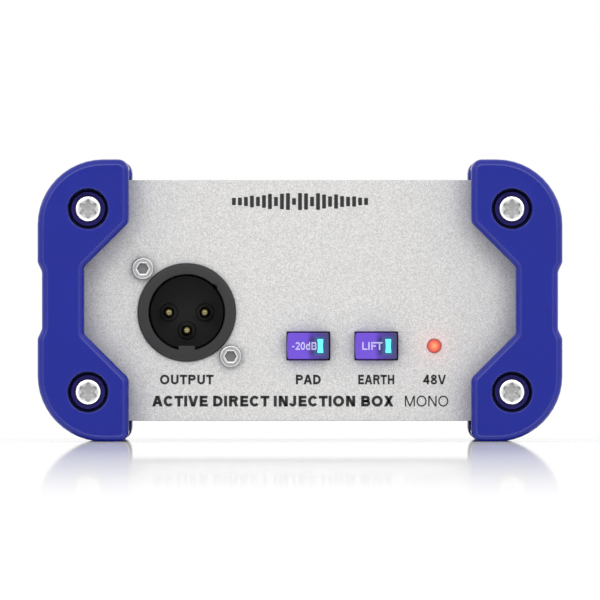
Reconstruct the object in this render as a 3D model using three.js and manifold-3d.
// A compact active direct injection box: a silver aluminium case with a male XLR output, two lit push
// buttons and a supply lamp on the front, two jack sockets on the rear, and four moulded bumpers.
//
// Millimetres. X is to the right seen from the front, Y runs from the front to the rear, Z is up.
// The origin is on the floor, under the middle of the box. The front looks along -Y.

import * as THREE from 'three';
import { mergeVertices } from 'three/addons/utils/BufferGeometryUtils.js';
import Module from 'manifold-3d';

const wasm = await Module();
wasm.setup();

// ---------- driving dimensions ----------

const WIDTH = 113.4;
const DEPTH = 137;
const HEIGHT = 61;
const MID_Z = HEIGHT / 2;
const FIT = 0.1;                    // ordinary gap between two fitted parts
const CLOSE_FIT = 0.05;
const CUT = 1;                      // how far a cutting tool passes the surface

// Bumpers: each caps one end of one side of the case.
const BUMPER_FRONT = 9;             // rubber ahead of the panel
const BUMPER_LOBE_LENGTH = 29.5;    // from the outer face to the end of the skirt, at the lobes
const BUMPER_WAIST_LENGTH = 20;     // the same at the waist
const LOBE_INNER_X = 37;
const WAIST_INNER_X = 46.6;
const WAIST_OUTER_INSET = 0.94;
const LOBE_LOW_Z = 16.8;            // the diagonal's ends, from mid height
const WAIST_TOP_Z = 7.2;
const WAIST_RAMP = { start: 6.2, end: 8.2, radius: 1.8 };
const OUTER_CORNER_R = 14.2;

// Case: an extruded sleeve closed by two panels.
const CASE_HALF_X = 53;
const CASE_HALF_Z = 26.05;
const CASE_CORNER_R = 10;
const CASE_WALL = 2;
const PANEL = 2;                    // panel thickness
const FACE_Y = DEPTH / 2 - BUMPER_FRONT;    // outer face of either panel
const SLEEVE_Y = FACE_Y - PANEL;            // end of the sleeve

// Bumper screws, M3 with a pan head and a six-lobe recess.
const BUMPER_SCREW_X = 45.8;
const BUMPER_SCREW_Z = 19.8;        // from mid height
const COUNTERBORE_MOUTH_R = 4.4;
const COUNTERBORE_FLOOR_R = 3.65;
const COUNTERBORE_DEPTH = 5.5;
const M3_SHANK_R = 1.45;
const M3_HOLE_R = 1.6;
const M3_HEAD_R = 2.75;
const M3_HEAD_HEIGHT = 2.4;
const M3_SHANK_LENGTH = 17;
const M3_RECESS_DEPTH = 1.4;
const M3_RECESS_LOBE_R = 1.75;
const M3_RECESS_VALLEY_R = 1.15;
const SCREW_BOSS_R = 3.3;
const SCREW_WEB_HALF = 1;

// Circuit board, held in two grooves of the sleeve.
const BOARD_BOTTOM = 14.2;
const BOARD_TOP = 15.8;
const BOARD_HALF_X = 50.8;
const BOARD_HALF_Y = 54;
const GROOVE_RIB = 1.2;             // rib thickness
const GROOVE_REACH = 1.8;           // rib height from the wall

// Male XLR socket.
const XLR_X = -24.5;
const XLR_Z = MID_Z - 2.6;
const XLR_RIM_Y = -FACE_Y - 1;
const XLR_RING_R = 10.6;
const XLR_BORE_R = 8.25;
const XLR_BODY_R = 10.2;
const XLR_CUP_DEPTH = 13.5;
const XLR_BODY_LENGTH = 20;
const XLR_FLANGE_HALF = 11.8;
const XLR_FLANGE = 3;
const XLR_KEY_WIDTH = 3.6;
const XLR_KEY_HEIGHT = 1.05;
const XLR_PIN_R = 1.2;
const XLR_PIN_TIP = 1.8;            // the tips stand this far behind the rim
const XLR_PIN_OFFSET = 3.9;
const XLR_SCREW_OFFSET = 9.5;
const XLR_SCREW_HEAD_R = 2.45;
const XLR_SCREW_HEAD_HEIGHT = 1.7;
const XLR_SCREW_HEX = 2.3;
const XLR_SCREW_SHANK_R = 1.2;
const XLR_SCREW_HOLE_R = 1.4;
const XLR_NUT_FLATS = 4.9;
const XLR_NUT_HEIGHT = 2;

// Illuminated push buttons and their latching switches.
const BUTTONS = { pad: 1.8, earth: 16.5 };
const CONTROL_Z = MID_Z - 9.85;
const CAP_WIDTH = 8.9;
const CAP_HEIGHT = 5.7;
const CAP_PROUD = 2.8;
const CAP_BACK_Y = -54.5;
const CAP_CLEARANCE = 0.25;
const CAP_STOP = 1;                 // thickness of the lip that holds the cap in
const CAP_STOP_REACH = 0.7;
const WINDOW_X = 2.6;               // window centre, right of the button's centre
const WINDOW_WIDTH = 1.55;
const WINDOW_HEIGHT = 3.45;
const SWITCH_FRONT_Y = -50.4;
const SWITCH_LENGTH = 14;
const SWITCH_HALF_X = 4;
const SWITCH_TOP = 25.4;
const SWITCH_BORE_R = 1.9;
const SWITCH_BORE_DEPTH = 12;
const PLUNGER_R = 1.6;
const PLUNGER_IN_CAP = 3;
const PLUNGER_END_Y = -46.4;
const BUTTON_LAMP = { halfX: 0.6, length: 1.2, halfZ: 1.6 };

// Supply lamp.
const LED_X = 29.05;
const LED_R = 1.5;
const LED_PROUD = 1.3;
const LED_RIM = 0.35;
const LED_BASE_Y = -SLEEVE_Y + 3.4;
const LED_SPACER = { half: 2.3, length: 5 };

// Jack sockets on the rear panel.
const JACKS = { input: 18, link: -18 };
const JACK_Z = 24.05;
const JACK_BORE_R = 3.25;
const JACK_BUSH_R = 4.7;
const JACK_BUSH_END_Y = FACE_Y + 4;
const JACK_BUSH_START_Y = 50;
const JACK_BODY_HALF_X = 8;
const JACK_BODY_TOP = 32.3;
const JACK_BODY_START_Y = 33.4;
const JACK_NUT_FLATS = 12.6;
const JACK_NUT_HEIGHT = 2.4;
const JACK_WASHER_R = 7.4;
const JACK_WASHER = 0.6;
const JACK_HOLE_FIT = 0.15;

const ROUND = 24;                   // segments of an ordinary round part
const FINE = 40;                    // segments of the large round parts
const MEDIUM = 16;                  // segments of the pins and their holes
const SMALL = 12;                   // segments of the screw holes

// ---------- solids ----------

// Leaves only merged positions, and turns the faces outward if a mirrored outline turned them in.
function closed(geometry) {
  geometry.deleteAttribute('normal');
  geometry.deleteAttribute('uv');
  const merged = mergeVertices(geometry, 1e-4);
  const position = merged.attributes.position;
  const index = merged.index.array;
  const corner = (i) => new THREE.Vector3().fromBufferAttribute(position, index[i]);
  let volume = 0;
  for (let i = 0; i < index.length; i += 3) {
    volume += corner(i).dot(corner(i + 1).cross(corner(i + 2)));
  }
  if (volume < 0) {
    for (let i = 0; i < index.length; i += 3) {
      [index[i], index[i + 1]] = [index[i + 1], index[i]];
    }
  }
  return merged;
}

function toManifold(geometry) {
  const merged = closed(geometry);
  return new wasm.Manifold(new wasm.Mesh({
    numProp: 3,
    vertProperties: Float32Array.from(merged.attributes.position.array),
    triVerts: Uint32Array.from(merged.index.array),
  }));
}

function fromManifold(solid) {
  const mesh = solid.getMesh();
  const geometry = new THREE.BufferGeometry();
  geometry.setAttribute('position', new THREE.BufferAttribute(mesh.vertProperties, 3));
  geometry.setIndex(new THREE.BufferAttribute(mesh.triVerts, 1));
  return geometry;
}

// The first geometry with the added ones joined and the removed ones cut away.
function build(base, { add = [], remove = [] }) {
  let solid = toManifold(base);
  for (const geometry of add) {
    solid = solid.add(toManifold(geometry));
  }
  for (const geometry of remove) {
    solid = solid.subtract(toManifold(geometry));
  }
  return fromManifold(solid);
}

function block(x0, x1, y0, y1, z0, z1) {
  const geometry = new THREE.BoxGeometry(Math.abs(x1 - x0), Math.abs(y1 - y0), Math.abs(z1 - z0));
  return geometry.translate((x0 + x1) / 2, (y0 + y1) / 2, (z0 + z1) / 2);
}

// A round bar along Y; a second radius, at y1, makes it taper.
function rod(radius, y0, y1, x, z, segments = ROUND, radiusAtY1 = radius) {
  const [low, high] = y0 < y1 ? [radius, radiusAtY1] : [radiusAtY1, radius];
  const geometry = new THREE.CylinderGeometry(high, low, Math.abs(y1 - y0), segments);
  return geometry.translate(x, (y0 + y1) / 2, z);
}

// A turned part about an axis along Y, from a profile of [radius, y] points.
function turned(profile, x, z, segments = ROUND) {
  const points = profile.map(([radius, y]) => new THREE.Vector2(radius, y));
  return closed(new THREE.LatheGeometry(points, segments).translate(x, 0, z));
}

function tube(innerRadius, outerRadius, y0, y1, x, z, segments = ROUND) {
  const start = [innerRadius, y0];
  return turned([start, [outerRadius, y0], [outerRadius, y1], [innerRadius, y1], start], x, z, segments);
}

// A closed outline through corners [x, z, radius], each corner rounded by an arc of its radius.
function roundedOutline(corners, segments = 6) {
  const points = [];
  corners.forEach(([x, z, radius], i) => {
    const corner = new THREE.Vector2(x, z);
    if (!radius) {
      points.push(corner);
      return;
    }
    const before = corners.at(i - 1);
    const after = corners[(i + 1) % corners.length];
    const toBefore = new THREE.Vector2(before[0] - x, before[1] - z).normalize();
    const toAfter = new THREE.Vector2(after[0] - x, after[1] - z).normalize();
    const half = Math.acos(toBefore.dot(toAfter)) / 2;
    const inward = toBefore.clone().add(toAfter).normalize();
    const centre = inward.multiplyScalar(radius / Math.sin(half)).add(corner);
    const start = toBefore.multiplyScalar(radius / Math.tan(half)).add(corner).sub(centre);
    const end = toAfter.multiplyScalar(radius / Math.tan(half)).add(corner).sub(centre);
    const sweep = Math.atan2(start.cross(end), start.dot(end));
    for (let step = 0; step <= segments; step += 1) {
      points.push(start.clone().rotateAround(new THREE.Vector2(), sweep * step / segments).add(centre));
    }
  });
  return points;
}

function roundedRectangle(x, z, halfX, halfZ, radius, segments) {
  return roundedOutline([
    [x - halfX, z - halfZ, radius],
    [x + halfX, z - halfZ, radius],
    [x + halfX, z + halfZ, radius],
    [x - halfX, z + halfZ, radius],
  ], segments);
}

// An outline in X and Z, extruded from y0 to y1.
function extruded(outline, y0, y1) {
  const geometry = new THREE.ExtrudeGeometry(new THREE.Shape(outline), {
    depth: Math.abs(y1 - y0),
    bevelEnabled: false,
    curveSegments: 1,
  });
  return geometry.rotateX(Math.PI / 2).translate(0, Math.max(y0, y1), 0);
}

// An outline in Y and Z, extruded from x0 to x1.
function extrudedSideways(outline, x0, x1) {
  const geometry = new THREE.ExtrudeGeometry(new THREE.Shape(outline), {
    depth: Math.abs(x1 - x0),
    bevelEnabled: false,
    curveSegments: 1,
  });
  geometry.rotateZ(Math.PI / 2).rotateY(Math.PI / 2);
  return geometry.translate(Math.min(x0, x1), 0, 0);
}

// A regular hexagon, flat at the top and bottom.
function hexagon(flats, x, z) {
  const radius = flats / Math.sqrt(3);
  return Array.from({ length: 6 }, (_, i) => new THREE.Vector2(
    x + radius * Math.cos(i * Math.PI / 3),
    z + radius * Math.sin(i * Math.PI / 3),
  ));
}

// The six-lobe driver recess: twelve points, alternately out and in, with one lobe at the top.
function sixLobe(outerRadius, innerRadius, x, z) {
  return Array.from({ length: 12 }, (_, i) => {
    const radius = i % 2 ? innerRadius : outerRadius;
    const angle = Math.PI / 2 + i * Math.PI / 6;
    return new THREE.Vector2(x + radius * Math.cos(angle), z + radius * Math.sin(angle));
  });
}

// ---------- scene graph ----------

const box = new THREE.Group();

function addPart(name, geometry, finish) {
  const mesh = new THREE.Mesh(closed(geometry), new THREE.MeshStandardMaterial(finish));
  mesh.name = name;
  box.add(mesh);
}

const SILVER = { color: 0xd0d0d2, roughness: 0.45, metalness: 0.9 };
const BLUE = { color: 0x283398, roughness: 0.4, metalness: 0 };
const BRIGHT = { color: 0xe8e8e8, roughness: 0.2, metalness: 1 };
const BLACK = { color: 0x1c1c1c, roughness: 0.5, metalness: 0 };
const GOLD = { color: 0xd8b45a, roughness: 0.25, metalness: 1 };
const PURPLE = { color: 0x5b3fc0, roughness: 0.35, metalness: 0 };
const CYAN = { color: 0x8ffbff, roughness: 0.3, metalness: 0, emissive: 0x37c8d8 };
const RED = { color: 0xff5a45, roughness: 0.2, metalness: 0, emissive: 0xa01810 };
const GREEN = { color: 0x1c5a34, roughness: 0.4, metalness: 0 };
const COPPER = { color: 0xa85a2a, roughness: 0.4, metalness: 0.8 };
const STEEL = { color: 0x8a8c90, roughness: 0.4, metalness: 0.9 };
const SLEEVE = { color: 0x2a2a44, roughness: 0.35, metalness: 0 };

const SIDES = { left: -1, right: 1 };
const ENDS = { front: -1, rear: 1 };
const LEVELS = { lower: -1, upper: 1 };

// ---------- case ----------

function caseOutline(grow = 0) {
  return roundedRectangle(0, MID_Z, CASE_HALF_X + grow, CASE_HALF_Z + grow, CASE_CORNER_R + grow, 8);
}

// Rods along Y at the four bumper screws.
function atBumperScrews(radius, y0, y1, segments) {
  const rods = [];
  for (const side of Object.values(SIDES)) {
    for (const level of Object.values(LEVELS)) {
      rods.push(rod(radius, y0, y1, side * BUMPER_SCREW_X, MID_Z + level * BUMPER_SCREW_Z, segments));
    }
  }
  return rods;
}

// The sleeve's hollow, which leaves the screw bosses with their webs, and the board's grooves.
function sleeveHollow() {
  const innerX = CASE_HALF_X - CASE_WALL;
  const innerZ = CASE_HALF_Z - CASE_WALL;
  const end = SLEEVE_Y + CUT;
  const inner = roundedRectangle(0, MID_Z, innerX, innerZ, CASE_CORNER_R - CASE_WALL, 8);
  const hollow = extruded(inner, -end, end);
  const keep = atBumperScrews(SCREW_BOSS_R, -end, end, ROUND);
  for (const side of Object.values(SIDES)) {
    const wall = side * (innerX + CUT);
    for (const level of Object.values(LEVELS)) {
      const screwZ = MID_Z + level * BUMPER_SCREW_Z;
      const ceiling = MID_Z + level * (innerZ + CUT);
      const webX = side * BUMPER_SCREW_X;
      keep.push(block(webX - SCREW_WEB_HALF, webX + SCREW_WEB_HALF, -end, end, screwZ, ceiling));
    }
    const ribTip = side * (innerX - GROOVE_REACH);
    const underBoard = BOARD_BOTTOM - FIT;
    const overBoard = BOARD_TOP + FIT;
    keep.push(block(ribTip, wall, -end, end, underBoard - GROOVE_RIB, underBoard));
    keep.push(block(ribTip, wall, -end, end, overBoard, overBoard + GROOVE_RIB));
  }
  return build(hollow, { remove: keep });
}

function chassisSleeve() {
  const remove = [sleeveHollow(), ...atBumperScrews(M3_HOLE_R, -SLEEVE_Y - CUT, SLEEVE_Y + CUT, SMALL)];
  return build(extruded(caseOutline(), -SLEEVE_Y, SLEEVE_Y), { remove });
}

function xlrScrewPlaces() {
  return [
    ['upper', XLR_X - XLR_SCREW_OFFSET, XLR_Z + XLR_SCREW_OFFSET],
    ['lower', XLR_X + XLR_SCREW_OFFSET, XLR_Z - XLR_SCREW_OFFSET],
  ];
}

function frontPanel() {
  const outside = -FACE_Y - CUT;
  const inside = -SLEEVE_Y + CUT;
  const remove = atBumperScrews(M3_HOLE_R, outside, inside, SMALL);
  remove.push(rod(XLR_RING_R + FIT, outside, inside, XLR_X, XLR_Z, FINE));
  remove.push(rod(LED_R + FIT, outside, inside, LED_X, CONTROL_Z, ROUND));
  for (const [, x, z] of xlrScrewPlaces()) {
    remove.push(rod(XLR_SCREW_HOLE_R, outside, inside, x, z, MEDIUM));
  }
  for (const x of Object.values(BUTTONS)) {
    const halfX = CAP_WIDTH / 2 + CAP_CLEARANCE;
    const halfZ = CAP_HEIGHT / 2 + CAP_CLEARANCE;
    remove.push(block(x - halfX, x + halfX, outside, inside, CONTROL_Z - halfZ, CONTROL_Z + halfZ));
  }
  return build(extruded(caseOutline(), -FACE_Y, -SLEEVE_Y), { remove });
}

function rearPanel() {
  const inside = SLEEVE_Y - CUT;
  const outside = FACE_Y + CUT;
  const remove = atBumperScrews(M3_HOLE_R, inside, outside, SMALL);
  for (const x of Object.values(JACKS)) {
    remove.push(rod(JACK_BUSH_R + JACK_HOLE_FIT, inside, outside, x, JACK_Z, ROUND));
  }
  return build(extruded(caseOutline(), SLEEVE_Y, FACE_Y), { remove });
}

// ---------- bumpers and their screws ----------

// One bumper's outline from the front: two lobes joined by a narrower waist.
function bumperOutline(side) {
  const half = [
    [WIDTH / 2 - WAIST_OUTER_INSET, WAIST_RAMP.start, WAIST_RAMP.radius],
    [WIDTH / 2, WAIST_RAMP.end, WAIST_RAMP.radius],
    [WIDTH / 2, MID_Z, OUTER_CORNER_R],
    [LOBE_INNER_X, MID_Z, 2.3],
    [LOBE_INNER_X, LOBE_LOW_Z, 1.7],
    [WAIST_INNER_X, WAIST_TOP_Z, 1.1],
  ];
  const mirrored = half.map(([x, z, radius]) => [x, -z, radius]).reverse();
  const corners = [...half, ...mirrored].map(([x, z, radius]) => [side * x, MID_Z + z, radius]);
  return roundedOutline(corners, 7);
}

// The part of the skirt that is cut away at the waist, seen from the side.
function waistCut(side, end) {
  const outer = DEPTH / 2;
  const lobe = end * (outer - BUMPER_LOBE_LENGTH - CUT);
  const waist = end * (outer - BUMPER_WAIST_LENGTH);
  const slope = BUMPER_LOBE_LENGTH + CUT - BUMPER_WAIST_LENGTH;
  const outline = [
    new THREE.Vector2(waist, MID_Z - WAIST_TOP_Z),
    new THREE.Vector2(waist, MID_Z + WAIST_TOP_Z),
    new THREE.Vector2(lobe, MID_Z + WAIST_TOP_Z + slope),
    new THREE.Vector2(lobe, MID_Z - WAIST_TOP_Z - slope),
  ];
  return extrudedSideways(outline, side * (CASE_HALF_X - CUT), side * (WIDTH / 2 + CUT));
}

function bumper(side, end) {
  const face = end * DEPTH / 2;
  const skirtEnd = end * (DEPTH / 2 - BUMPER_LOBE_LENGTH);
  const seat = end * (DEPTH / 2 - COUNTERBORE_DEPTH);
  const remove = [
    extruded(caseOutline(FIT), end * FACE_Y, skirtEnd - end * CUT),
    waistCut(side, end),
  ];
  for (const level of Object.values(LEVELS)) {
    const x = side * BUMPER_SCREW_X;
    const z = MID_Z + level * BUMPER_SCREW_Z;
    remove.push(rod(COUNTERBORE_MOUTH_R, face, seat, x, z, 32, COUNTERBORE_FLOOR_R));
    remove.push(rod(M3_HOLE_R, face, end * (FACE_Y - CUT), x, z, SMALL));
  }
  return build(extruded(bumperOutline(side), face, skirtEnd), { remove });
}

function bumperScrew(side, end, level) {
  const x = side * BUMPER_SCREW_X;
  const z = MID_Z + level * BUMPER_SCREW_Z;
  const seat = DEPTH / 2 - COUNTERBORE_DEPTH;
  const profile = [
    [0, seat - M3_SHANK_LENGTH],
    [M3_SHANK_R, seat - M3_SHANK_LENGTH],
    [M3_SHANK_R, seat],
    [M3_HEAD_R, seat],
    [M3_HEAD_R, seat + M3_HEAD_HEIGHT * 0.6],
    [M3_HEAD_R * 0.86, seat + M3_HEAD_HEIGHT * 0.9],
    [M3_HEAD_R * 0.6, seat + M3_HEAD_HEIGHT],
    [0, seat + M3_HEAD_HEIGHT],
  ].map(([radius, y]) => [radius, end * y]);
  const recess = extruded(
    sixLobe(M3_RECESS_LOBE_R, M3_RECESS_VALLEY_R, x, z),
    end * (seat + M3_HEAD_HEIGHT - M3_RECESS_DEPTH),
    end * (seat + M3_HEAD_HEIGHT + CUT),
  );
  return build(turned(profile, x, z, SMALL), { remove: [recess] });
}

// ---------- XLR output ----------

function xlrShell() {
  const flangeY = -SLEEVE_Y + FIT;
  const end = XLR_RIM_Y + XLR_BODY_LENGTH;
  const flange = roundedRectangle(XLR_X, XLR_Z, XLR_FLANGE_HALF, XLR_FLANGE_HALF, 2.5, 4);
  const add = [
    extruded(flange, flangeY, flangeY + XLR_FLANGE),
    rod(XLR_BODY_R, flangeY + CUT, end, XLR_X, XLR_Z, FINE),
  ];
  const remove = [rod(XLR_BORE_R, XLR_RIM_Y - CUT, end + CUT, XLR_X, XLR_Z, FINE)];
  for (const [, x, z] of xlrScrewPlaces()) {
    remove.push(rod(XLR_SCREW_HOLE_R, flangeY - CUT, flangeY + XLR_FLANGE + CUT, x, z, MEDIUM));
  }
  const keyFoot = XLR_Z - XLR_BORE_R - 0.5;
  const halfKey = XLR_KEY_WIDTH / 2;
  const keyTop = XLR_Z - XLR_BORE_R + XLR_KEY_HEIGHT;
  const key = block(XLR_X - halfKey, XLR_X + halfKey, XLR_RIM_Y, XLR_RIM_Y + XLR_CUP_DEPTH, keyFoot, keyTop);
  const shell = build(rod(XLR_RING_R, XLR_RIM_Y, flangeY + CUT, XLR_X, XLR_Z, FINE), { add, remove });
  return build(shell, { add: [key] });
}

function xlrPinPlaces() {
  return [
    [XLR_X - XLR_PIN_OFFSET, XLR_Z],
    [XLR_X + XLR_PIN_OFFSET, XLR_Z],
    [XLR_X, XLR_Z - XLR_PIN_OFFSET],
  ];
}

function xlrInsert() {
  const start = XLR_RIM_Y + XLR_CUP_DEPTH + FIT;
  const end = XLR_RIM_Y + XLR_BODY_LENGTH;
  const remove = xlrPinPlaces().map(([x, z]) => rod(XLR_PIN_R + FIT, start - CUT, end + CUT, x, z, MEDIUM));
  return build(rod(XLR_BORE_R - FIT, start, end, XLR_X, XLR_Z, FINE), { remove });
}

// A contact pin with a domed tip, and a leg down to the board behind the insert.
function xlrPin(x, z) {
  const tip = XLR_RIM_Y + XLR_PIN_TIP;
  const end = XLR_RIM_Y + XLR_BODY_LENGTH + 2;
  const pin = turned([
    [0, tip],
    [XLR_PIN_R * 0.6, tip + 0.2],
    [XLR_PIN_R, tip + 1],
    [XLR_PIN_R, end],
    [0, end],
  ], x, z, 16);
  return build(pin, { add: [block(x - 0.5, x + 0.5, end - 1.1, end - 0.1, BOARD_TOP, z)] });
}

function xlrScrew(x, z) {
  const seat = -FACE_Y;
  const end = -SLEEVE_Y + XLR_FLANGE + XLR_NUT_HEIGHT + CUT;
  const screw = turned([
    [0, seat - XLR_SCREW_HEAD_HEIGHT],
    [XLR_SCREW_HEAD_R * 0.57, seat - XLR_SCREW_HEAD_HEIGHT * 0.94],
    [XLR_SCREW_HEAD_R * 0.86, seat - XLR_SCREW_HEAD_HEIGHT * 0.65],
    [XLR_SCREW_HEAD_R, seat - XLR_SCREW_HEAD_HEIGHT * 0.18],
    [XLR_SCREW_HEAD_R, seat],
    [XLR_SCREW_SHANK_R, seat],
    [XLR_SCREW_SHANK_R, end],
    [0, end],
  ], x, z, 20);
  const socket = extruded(hexagon(XLR_SCREW_HEX, x, z), seat - XLR_SCREW_HEAD_HEIGHT - CUT, seat - 0.4);
  return build(screw, { remove: [socket] });
}

function xlrNut(x, z) {
  const start = -SLEEVE_Y + FIT + XLR_FLANGE;
  const end = start + XLR_NUT_HEIGHT;
  const nut = extruded(hexagon(XLR_NUT_FLATS, x, z), start, end);
  return build(nut, { remove: [rod(XLR_SCREW_SHANK_R + FIT, start - CUT, end + CUT, x, z, 20)] });
}

// ---------- push buttons ----------

function buttonCap(x) {
  const face = -FACE_Y - CAP_PROUD;
  const halfX = CAP_WIDTH / 2;
  const halfZ = CAP_HEIGHT / 2;
  const base = block(x - halfX, x + halfX, face, CAP_BACK_Y, CONTROL_Z - halfZ, CONTROL_Z + halfZ);
  const stopX = halfX + CAP_STOP_REACH;
  const stopZ = halfZ + CAP_STOP_REACH;
  const stopY = -SLEEVE_Y + FIT;
  const stop = block(x - stopX, x + stopX, stopY, stopY + CAP_STOP, CONTROL_Z - stopZ, CONTROL_Z + stopZ);
  const slotX = WINDOW_WIDTH / 2 + CLOSE_FIT;
  const slotZ = WINDOW_HEIGHT / 2 + CLOSE_FIT;
  const slot = block(x + WINDOW_X - slotX, x + WINDOW_X + slotX, face - CUT, CAP_BACK_Y + CUT,
    CONTROL_Z - slotZ, CONTROL_Z + slotZ);
  const socketStart = CAP_BACK_Y - PLUNGER_IN_CAP - CLOSE_FIT;
  const socket = rod(PLUNGER_R + CLOSE_FIT, socketStart, CAP_BACK_Y + CUT, x, CONTROL_Z, MEDIUM);
  return build(base, { add: [stop], remove: [slot, socket] });
}

function buttonWindow(x) {
  const centre = x + WINDOW_X;
  return block(centre - WINDOW_WIDTH / 2, centre + WINDOW_WIDTH / 2, -FACE_Y - CAP_PROUD, CAP_BACK_Y,
    CONTROL_Z - WINDOW_HEIGHT / 2, CONTROL_Z + WINDOW_HEIGHT / 2);
}

function plunger(x) {
  return rod(PLUNGER_R, CAP_BACK_Y - PLUNGER_IN_CAP, PLUNGER_END_Y, x, CONTROL_Z, MEDIUM);
}

function switchBody(x) {
  const end = SWITCH_FRONT_Y + SWITCH_LENGTH;
  const base = block(x - SWITCH_HALF_X, x + SWITCH_HALF_X, SWITCH_FRONT_Y, end, BOARD_TOP, SWITCH_TOP);
  const boreEnd = SWITCH_FRONT_Y + SWITCH_BORE_DEPTH;
  const bore = rod(SWITCH_BORE_R, SWITCH_FRONT_Y - CUT, boreEnd, x, CONTROL_Z, ROUND);
  return build(base, { remove: [bore] });
}

// The return spring: a helix behind the plunger, against the end of the bore.
function returnSpring(x) {
  const wire = 0.2;
  const radius = 1.35;
  const turns = 5;
  const stepsPerTurn = 10;
  const start = PLUNGER_END_Y + wire + FIT;
  const end = SWITCH_FRONT_Y + SWITCH_BORE_DEPTH - wire - FIT;
  const points = [];
  for (let step = 0; step <= turns * stepsPerTurn; step += 1) {
    const angle = 2 * Math.PI * step / stepsPerTurn;
    const y = THREE.MathUtils.lerp(start, end, step / (turns * stepsPerTurn));
    points.push(new THREE.Vector3(x + radius * Math.cos(angle), y, CONTROL_Z + radius * Math.sin(angle)));
  }
  const section = Array.from({ length: 6 }, (_, i) => new THREE.Vector2(
    wire * Math.cos(i * Math.PI / 3),
    wire * Math.sin(i * Math.PI / 3),
  ));
  return new THREE.ExtrudeGeometry(new THREE.Shape(section), {
    steps: turns * stepsPerTurn,
    extrudePath: new THREE.CatmullRomCurve3(points),
    bevelEnabled: false,
  });
}

// The lamp on the switch's front, behind the cap's window.
function buttonLamp(x) {
  const centre = x + WINDOW_X;
  const { halfX, length, halfZ } = BUTTON_LAMP;
  const start = SWITCH_FRONT_Y - length;
  return block(centre - halfX, centre + halfX, start, SWITCH_FRONT_Y, CONTROL_Z - halfZ, CONTROL_Z + halfZ);
}

// ---------- supply lamp ----------

function phantomLed() {
  const tip = -FACE_Y - LED_PROUD;
  return turned([
    [0, tip],
    [LED_R * 0.5, tip + 0.2],
    [LED_R * 0.87, tip + 0.75],
    [LED_R, tip + LED_R],
    [LED_R, LED_BASE_Y - 1],
    [LED_R + LED_RIM, LED_BASE_Y - 1],
    [LED_R + LED_RIM, LED_BASE_Y],
    [0, LED_BASE_Y],
  ], LED_X, CONTROL_Z, ROUND);
}

function ledSpacer() {
  const { half, length } = LED_SPACER;
  return block(LED_X - half, LED_X + half, LED_BASE_Y, LED_BASE_Y + length, BOARD_TOP, CONTROL_Z + half);
}

// ---------- jack sockets ----------

const CONTACT_SLOT = { start: 36.5, end: 46, halfX: 1.3 };

function jackBody(x) {
  const front = SLEEVE_Y - FIT;
  const halfX = JACK_BODY_HALF_X;
  const wall = 2;
  const base = block(x - halfX, x + halfX, JACK_BODY_START_Y, front, BOARD_TOP, JACK_BODY_TOP);
  return build(base, {
    remove: [
      rod(JACK_BORE_R + JACK_HOLE_FIT, JACK_BODY_START_Y + wall, front + CUT, x, JACK_Z, ROUND),
      rod(JACK_BUSH_R + CLOSE_FIT, JACK_BUSH_START_Y - CLOSE_FIT, front + CUT, x, JACK_Z, ROUND),
      block(x - CONTACT_SLOT.halfX, x + CONTACT_SLOT.halfX, CONTACT_SLOT.start, CONTACT_SLOT.end,
        JACK_Z + CUT, JACK_BODY_TOP + CUT),
    ],
  });
}

function jackBush(x) {
  return tube(JACK_BORE_R, JACK_BUSH_R, JACK_BUSH_START_Y, JACK_BUSH_END_Y, x, JACK_Z);
}

function jackWasher(x) {
  return tube(JACK_BUSH_R + FIT, JACK_WASHER_R, FACE_Y, FACE_Y + JACK_WASHER, x, JACK_Z);
}

function jackNut(x) {
  const start = FACE_Y + JACK_WASHER;
  const end = start + JACK_NUT_HEIGHT;
  const nut = extruded(hexagon(JACK_NUT_FLATS, x, JACK_Z), start, end);
  return build(nut, { remove: [rod(JACK_BUSH_R + CLOSE_FIT, start - CUT, end + CUT, x, JACK_Z, ROUND)] });
}

// The tip contact: a bent strip through the body's slot, which dips into the bore.
function jackTipContact(x) {
  const thickness = 0.35;
  const bends = [[36.9, JACK_BODY_TOP - 0.5], [37.4, 29.5], [41, 26.7], [45, 29.2]];
  const lower = bends.map(([y, z]) => new THREE.Vector2(y, z));
  const upper = bends.map(([y, z]) => new THREE.Vector2(y + thickness, z + thickness)).reverse();
  return extrudedSideways([...lower, ...upper], x - 1, x + 1);
}

// ---------- circuit board and its parts ----------

function mainBoard() {
  return block(-BOARD_HALF_X, BOARD_HALF_X, -BOARD_HALF_Y, BOARD_HALF_Y, BOARD_BOTTOM, BOARD_TOP);
}

const TRANSFORMER = { x: -26, y: 2, legHalf: 3, window: 3.6, yoke: 3, stackHalf: 7, height: 18.5 };

function transformerCore() {
  const { x, y, legHalf, window, yoke, stackHalf, height } = TRANSFORMER;
  const halfX = legHalf + window + legHalf;
  const top = BOARD_TOP + height;
  const remove = [-1, 1].map((side) => block(x + side * legHalf, x + side * (legHalf + window),
    y - stackHalf - CUT, y + stackHalf + CUT, BOARD_TOP + yoke, top - yoke));
  return build(block(x - halfX, x + halfX, y - stackHalf, y + stackHalf, BOARD_TOP, top), { remove });
}

function transformerCoil() {
  const { x, y, legHalf, yoke, stackHalf, height } = TRANSFORMER;
  const windingDepth = 3.3;
  const bottom = BOARD_TOP + yoke + FIT;
  const top = BOARD_TOP + height - yoke - FIT;
  const around = (grow) => [
    x - legHalf - grow, x + legHalf + grow,
    y - stackHalf - grow, y + stackHalf + grow,
  ];
  const winding = block(...around(FIT + windingDepth), bottom, top);
  return build(winding, { remove: [block(...around(FIT), bottom - CUT, top + CUT)] });
}

// An upright can capacitor, [x, y, radius, height].
const CAPACITORS = [
  [2, -22, 4, 11.5],
  [13, -22, 4, 11.5],
  [26, -26, 3.15, 11],
];

function canCapacitor([x, y, radius, height]) {
  const can = new THREE.CylinderGeometry(radius, radius, height, ROUND);
  return can.rotateX(Math.PI / 2).translate(x, y, BOARD_TOP + height / 2);
}

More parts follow.
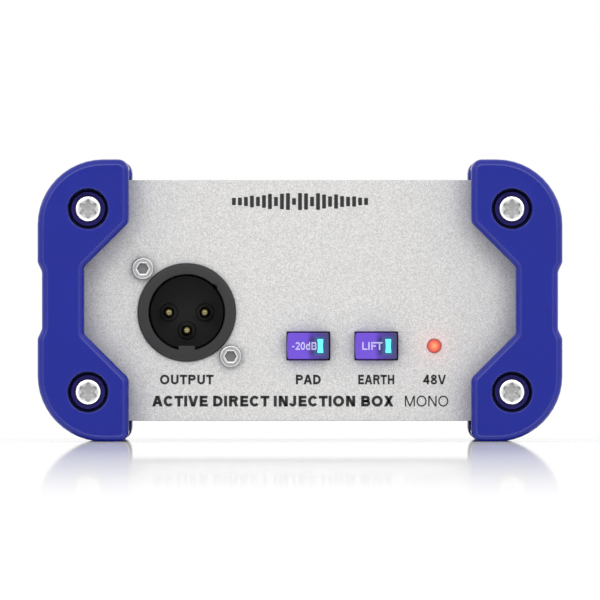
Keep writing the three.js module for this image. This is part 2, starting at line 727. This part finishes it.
const FILM_CAPACITORS = [[14, 14], [24, 14]];

function filmCapacitor([x, y]) {
  return block(x - 1.8, x + 1.8, y - 4, y + 4, BOARD_TOP, BOARD_TOP + 8);
}

const OPAMPS = [[4, -2], [18, -2]];

function opamp([x, y]) {
  return block(x - 4.9, x + 4.9, y - 3.2, y + 3.2, BOARD_TOP, BOARD_TOP + 3.6);
}

// ---------- assembly ----------

addPart('chassis_sleeve', chassisSleeve(), SILVER);
addPart('front_panel', frontPanel(), SILVER);
addPart('rear_panel', rearPanel(), SILVER);

for (const [endName, end] of Object.entries(ENDS)) {
  for (const [sideName, side] of Object.entries(SIDES)) {
    addPart(`bumper_${endName}_${sideName}`, bumper(side, end), BLUE);
    for (const [levelName, level] of Object.entries(LEVELS)) {
      addPart(`bumper_screw_${endName}_${sideName}_${levelName}`, bumperScrew(side, end, level), BRIGHT);
    }
  }
}

addPart('xlr_shell', xlrShell(), BLACK);
addPart('xlr_insert', xlrInsert(), BLACK);
xlrPinPlaces().forEach(([x, z], i) => addPart(`xlr_pin_${i + 1}`, xlrPin(x, z), GOLD));
for (const [name, x, z] of xlrScrewPlaces()) {
  addPart(`xlr_screw_${name}`, xlrScrew(x, z), BRIGHT);
  addPart(`xlr_nut_${name}`, xlrNut(x, z), STEEL);
}

for (const [name, x] of Object.entries(BUTTONS)) {
  addPart(`${name}_button_cap`, buttonCap(x), PURPLE);
  addPart(`${name}_button_window`, buttonWindow(x), CYAN);
  addPart(`${name}_plunger`, plunger(x), BLACK);
  addPart(`${name}_switch_body`, switchBody(x), SLEEVE);
  addPart(`${name}_return_spring`, returnSpring(x), STEEL);
  addPart(`${name}_button_lamp`, buttonLamp(x), CYAN);
}

addPart('phantom_led', phantomLed(), RED);
addPart('led_spacer', ledSpacer(), BLACK);

for (const [name, x] of Object.entries(JACKS)) {
  addPart(`${name}_jack_body`, jackBody(x), BLACK);
  addPart(`${name}_jack_bush`, jackBush(x), BRIGHT);
  addPart(`${name}_jack_washer`, jackWasher(x), STEEL);
  addPart(`${name}_jack_nut`, jackNut(x), BRIGHT);
  addPart(`${name}_jack_tip_contact`, jackTipContact(x), GOLD);
}

addPart('main_board', mainBoard(), GREEN);
addPart('transformer_core', transformerCore(), STEEL);
addPart('transformer_coil', transformerCoil(), COPPER);
CAPACITORS.forEach((place, i) => addPart(`capacitor_${i + 1}`, canCapacitor(place), SLEEVE));
FILM_CAPACITORS.forEach((place, i) => addPart(`film_capacitor_${i + 1}`, filmCapacitor(place), RED));
OPAMPS.forEach((place, i) => addPart(`opamp_${i + 1}`, opamp(place), BLACK));

export default box;
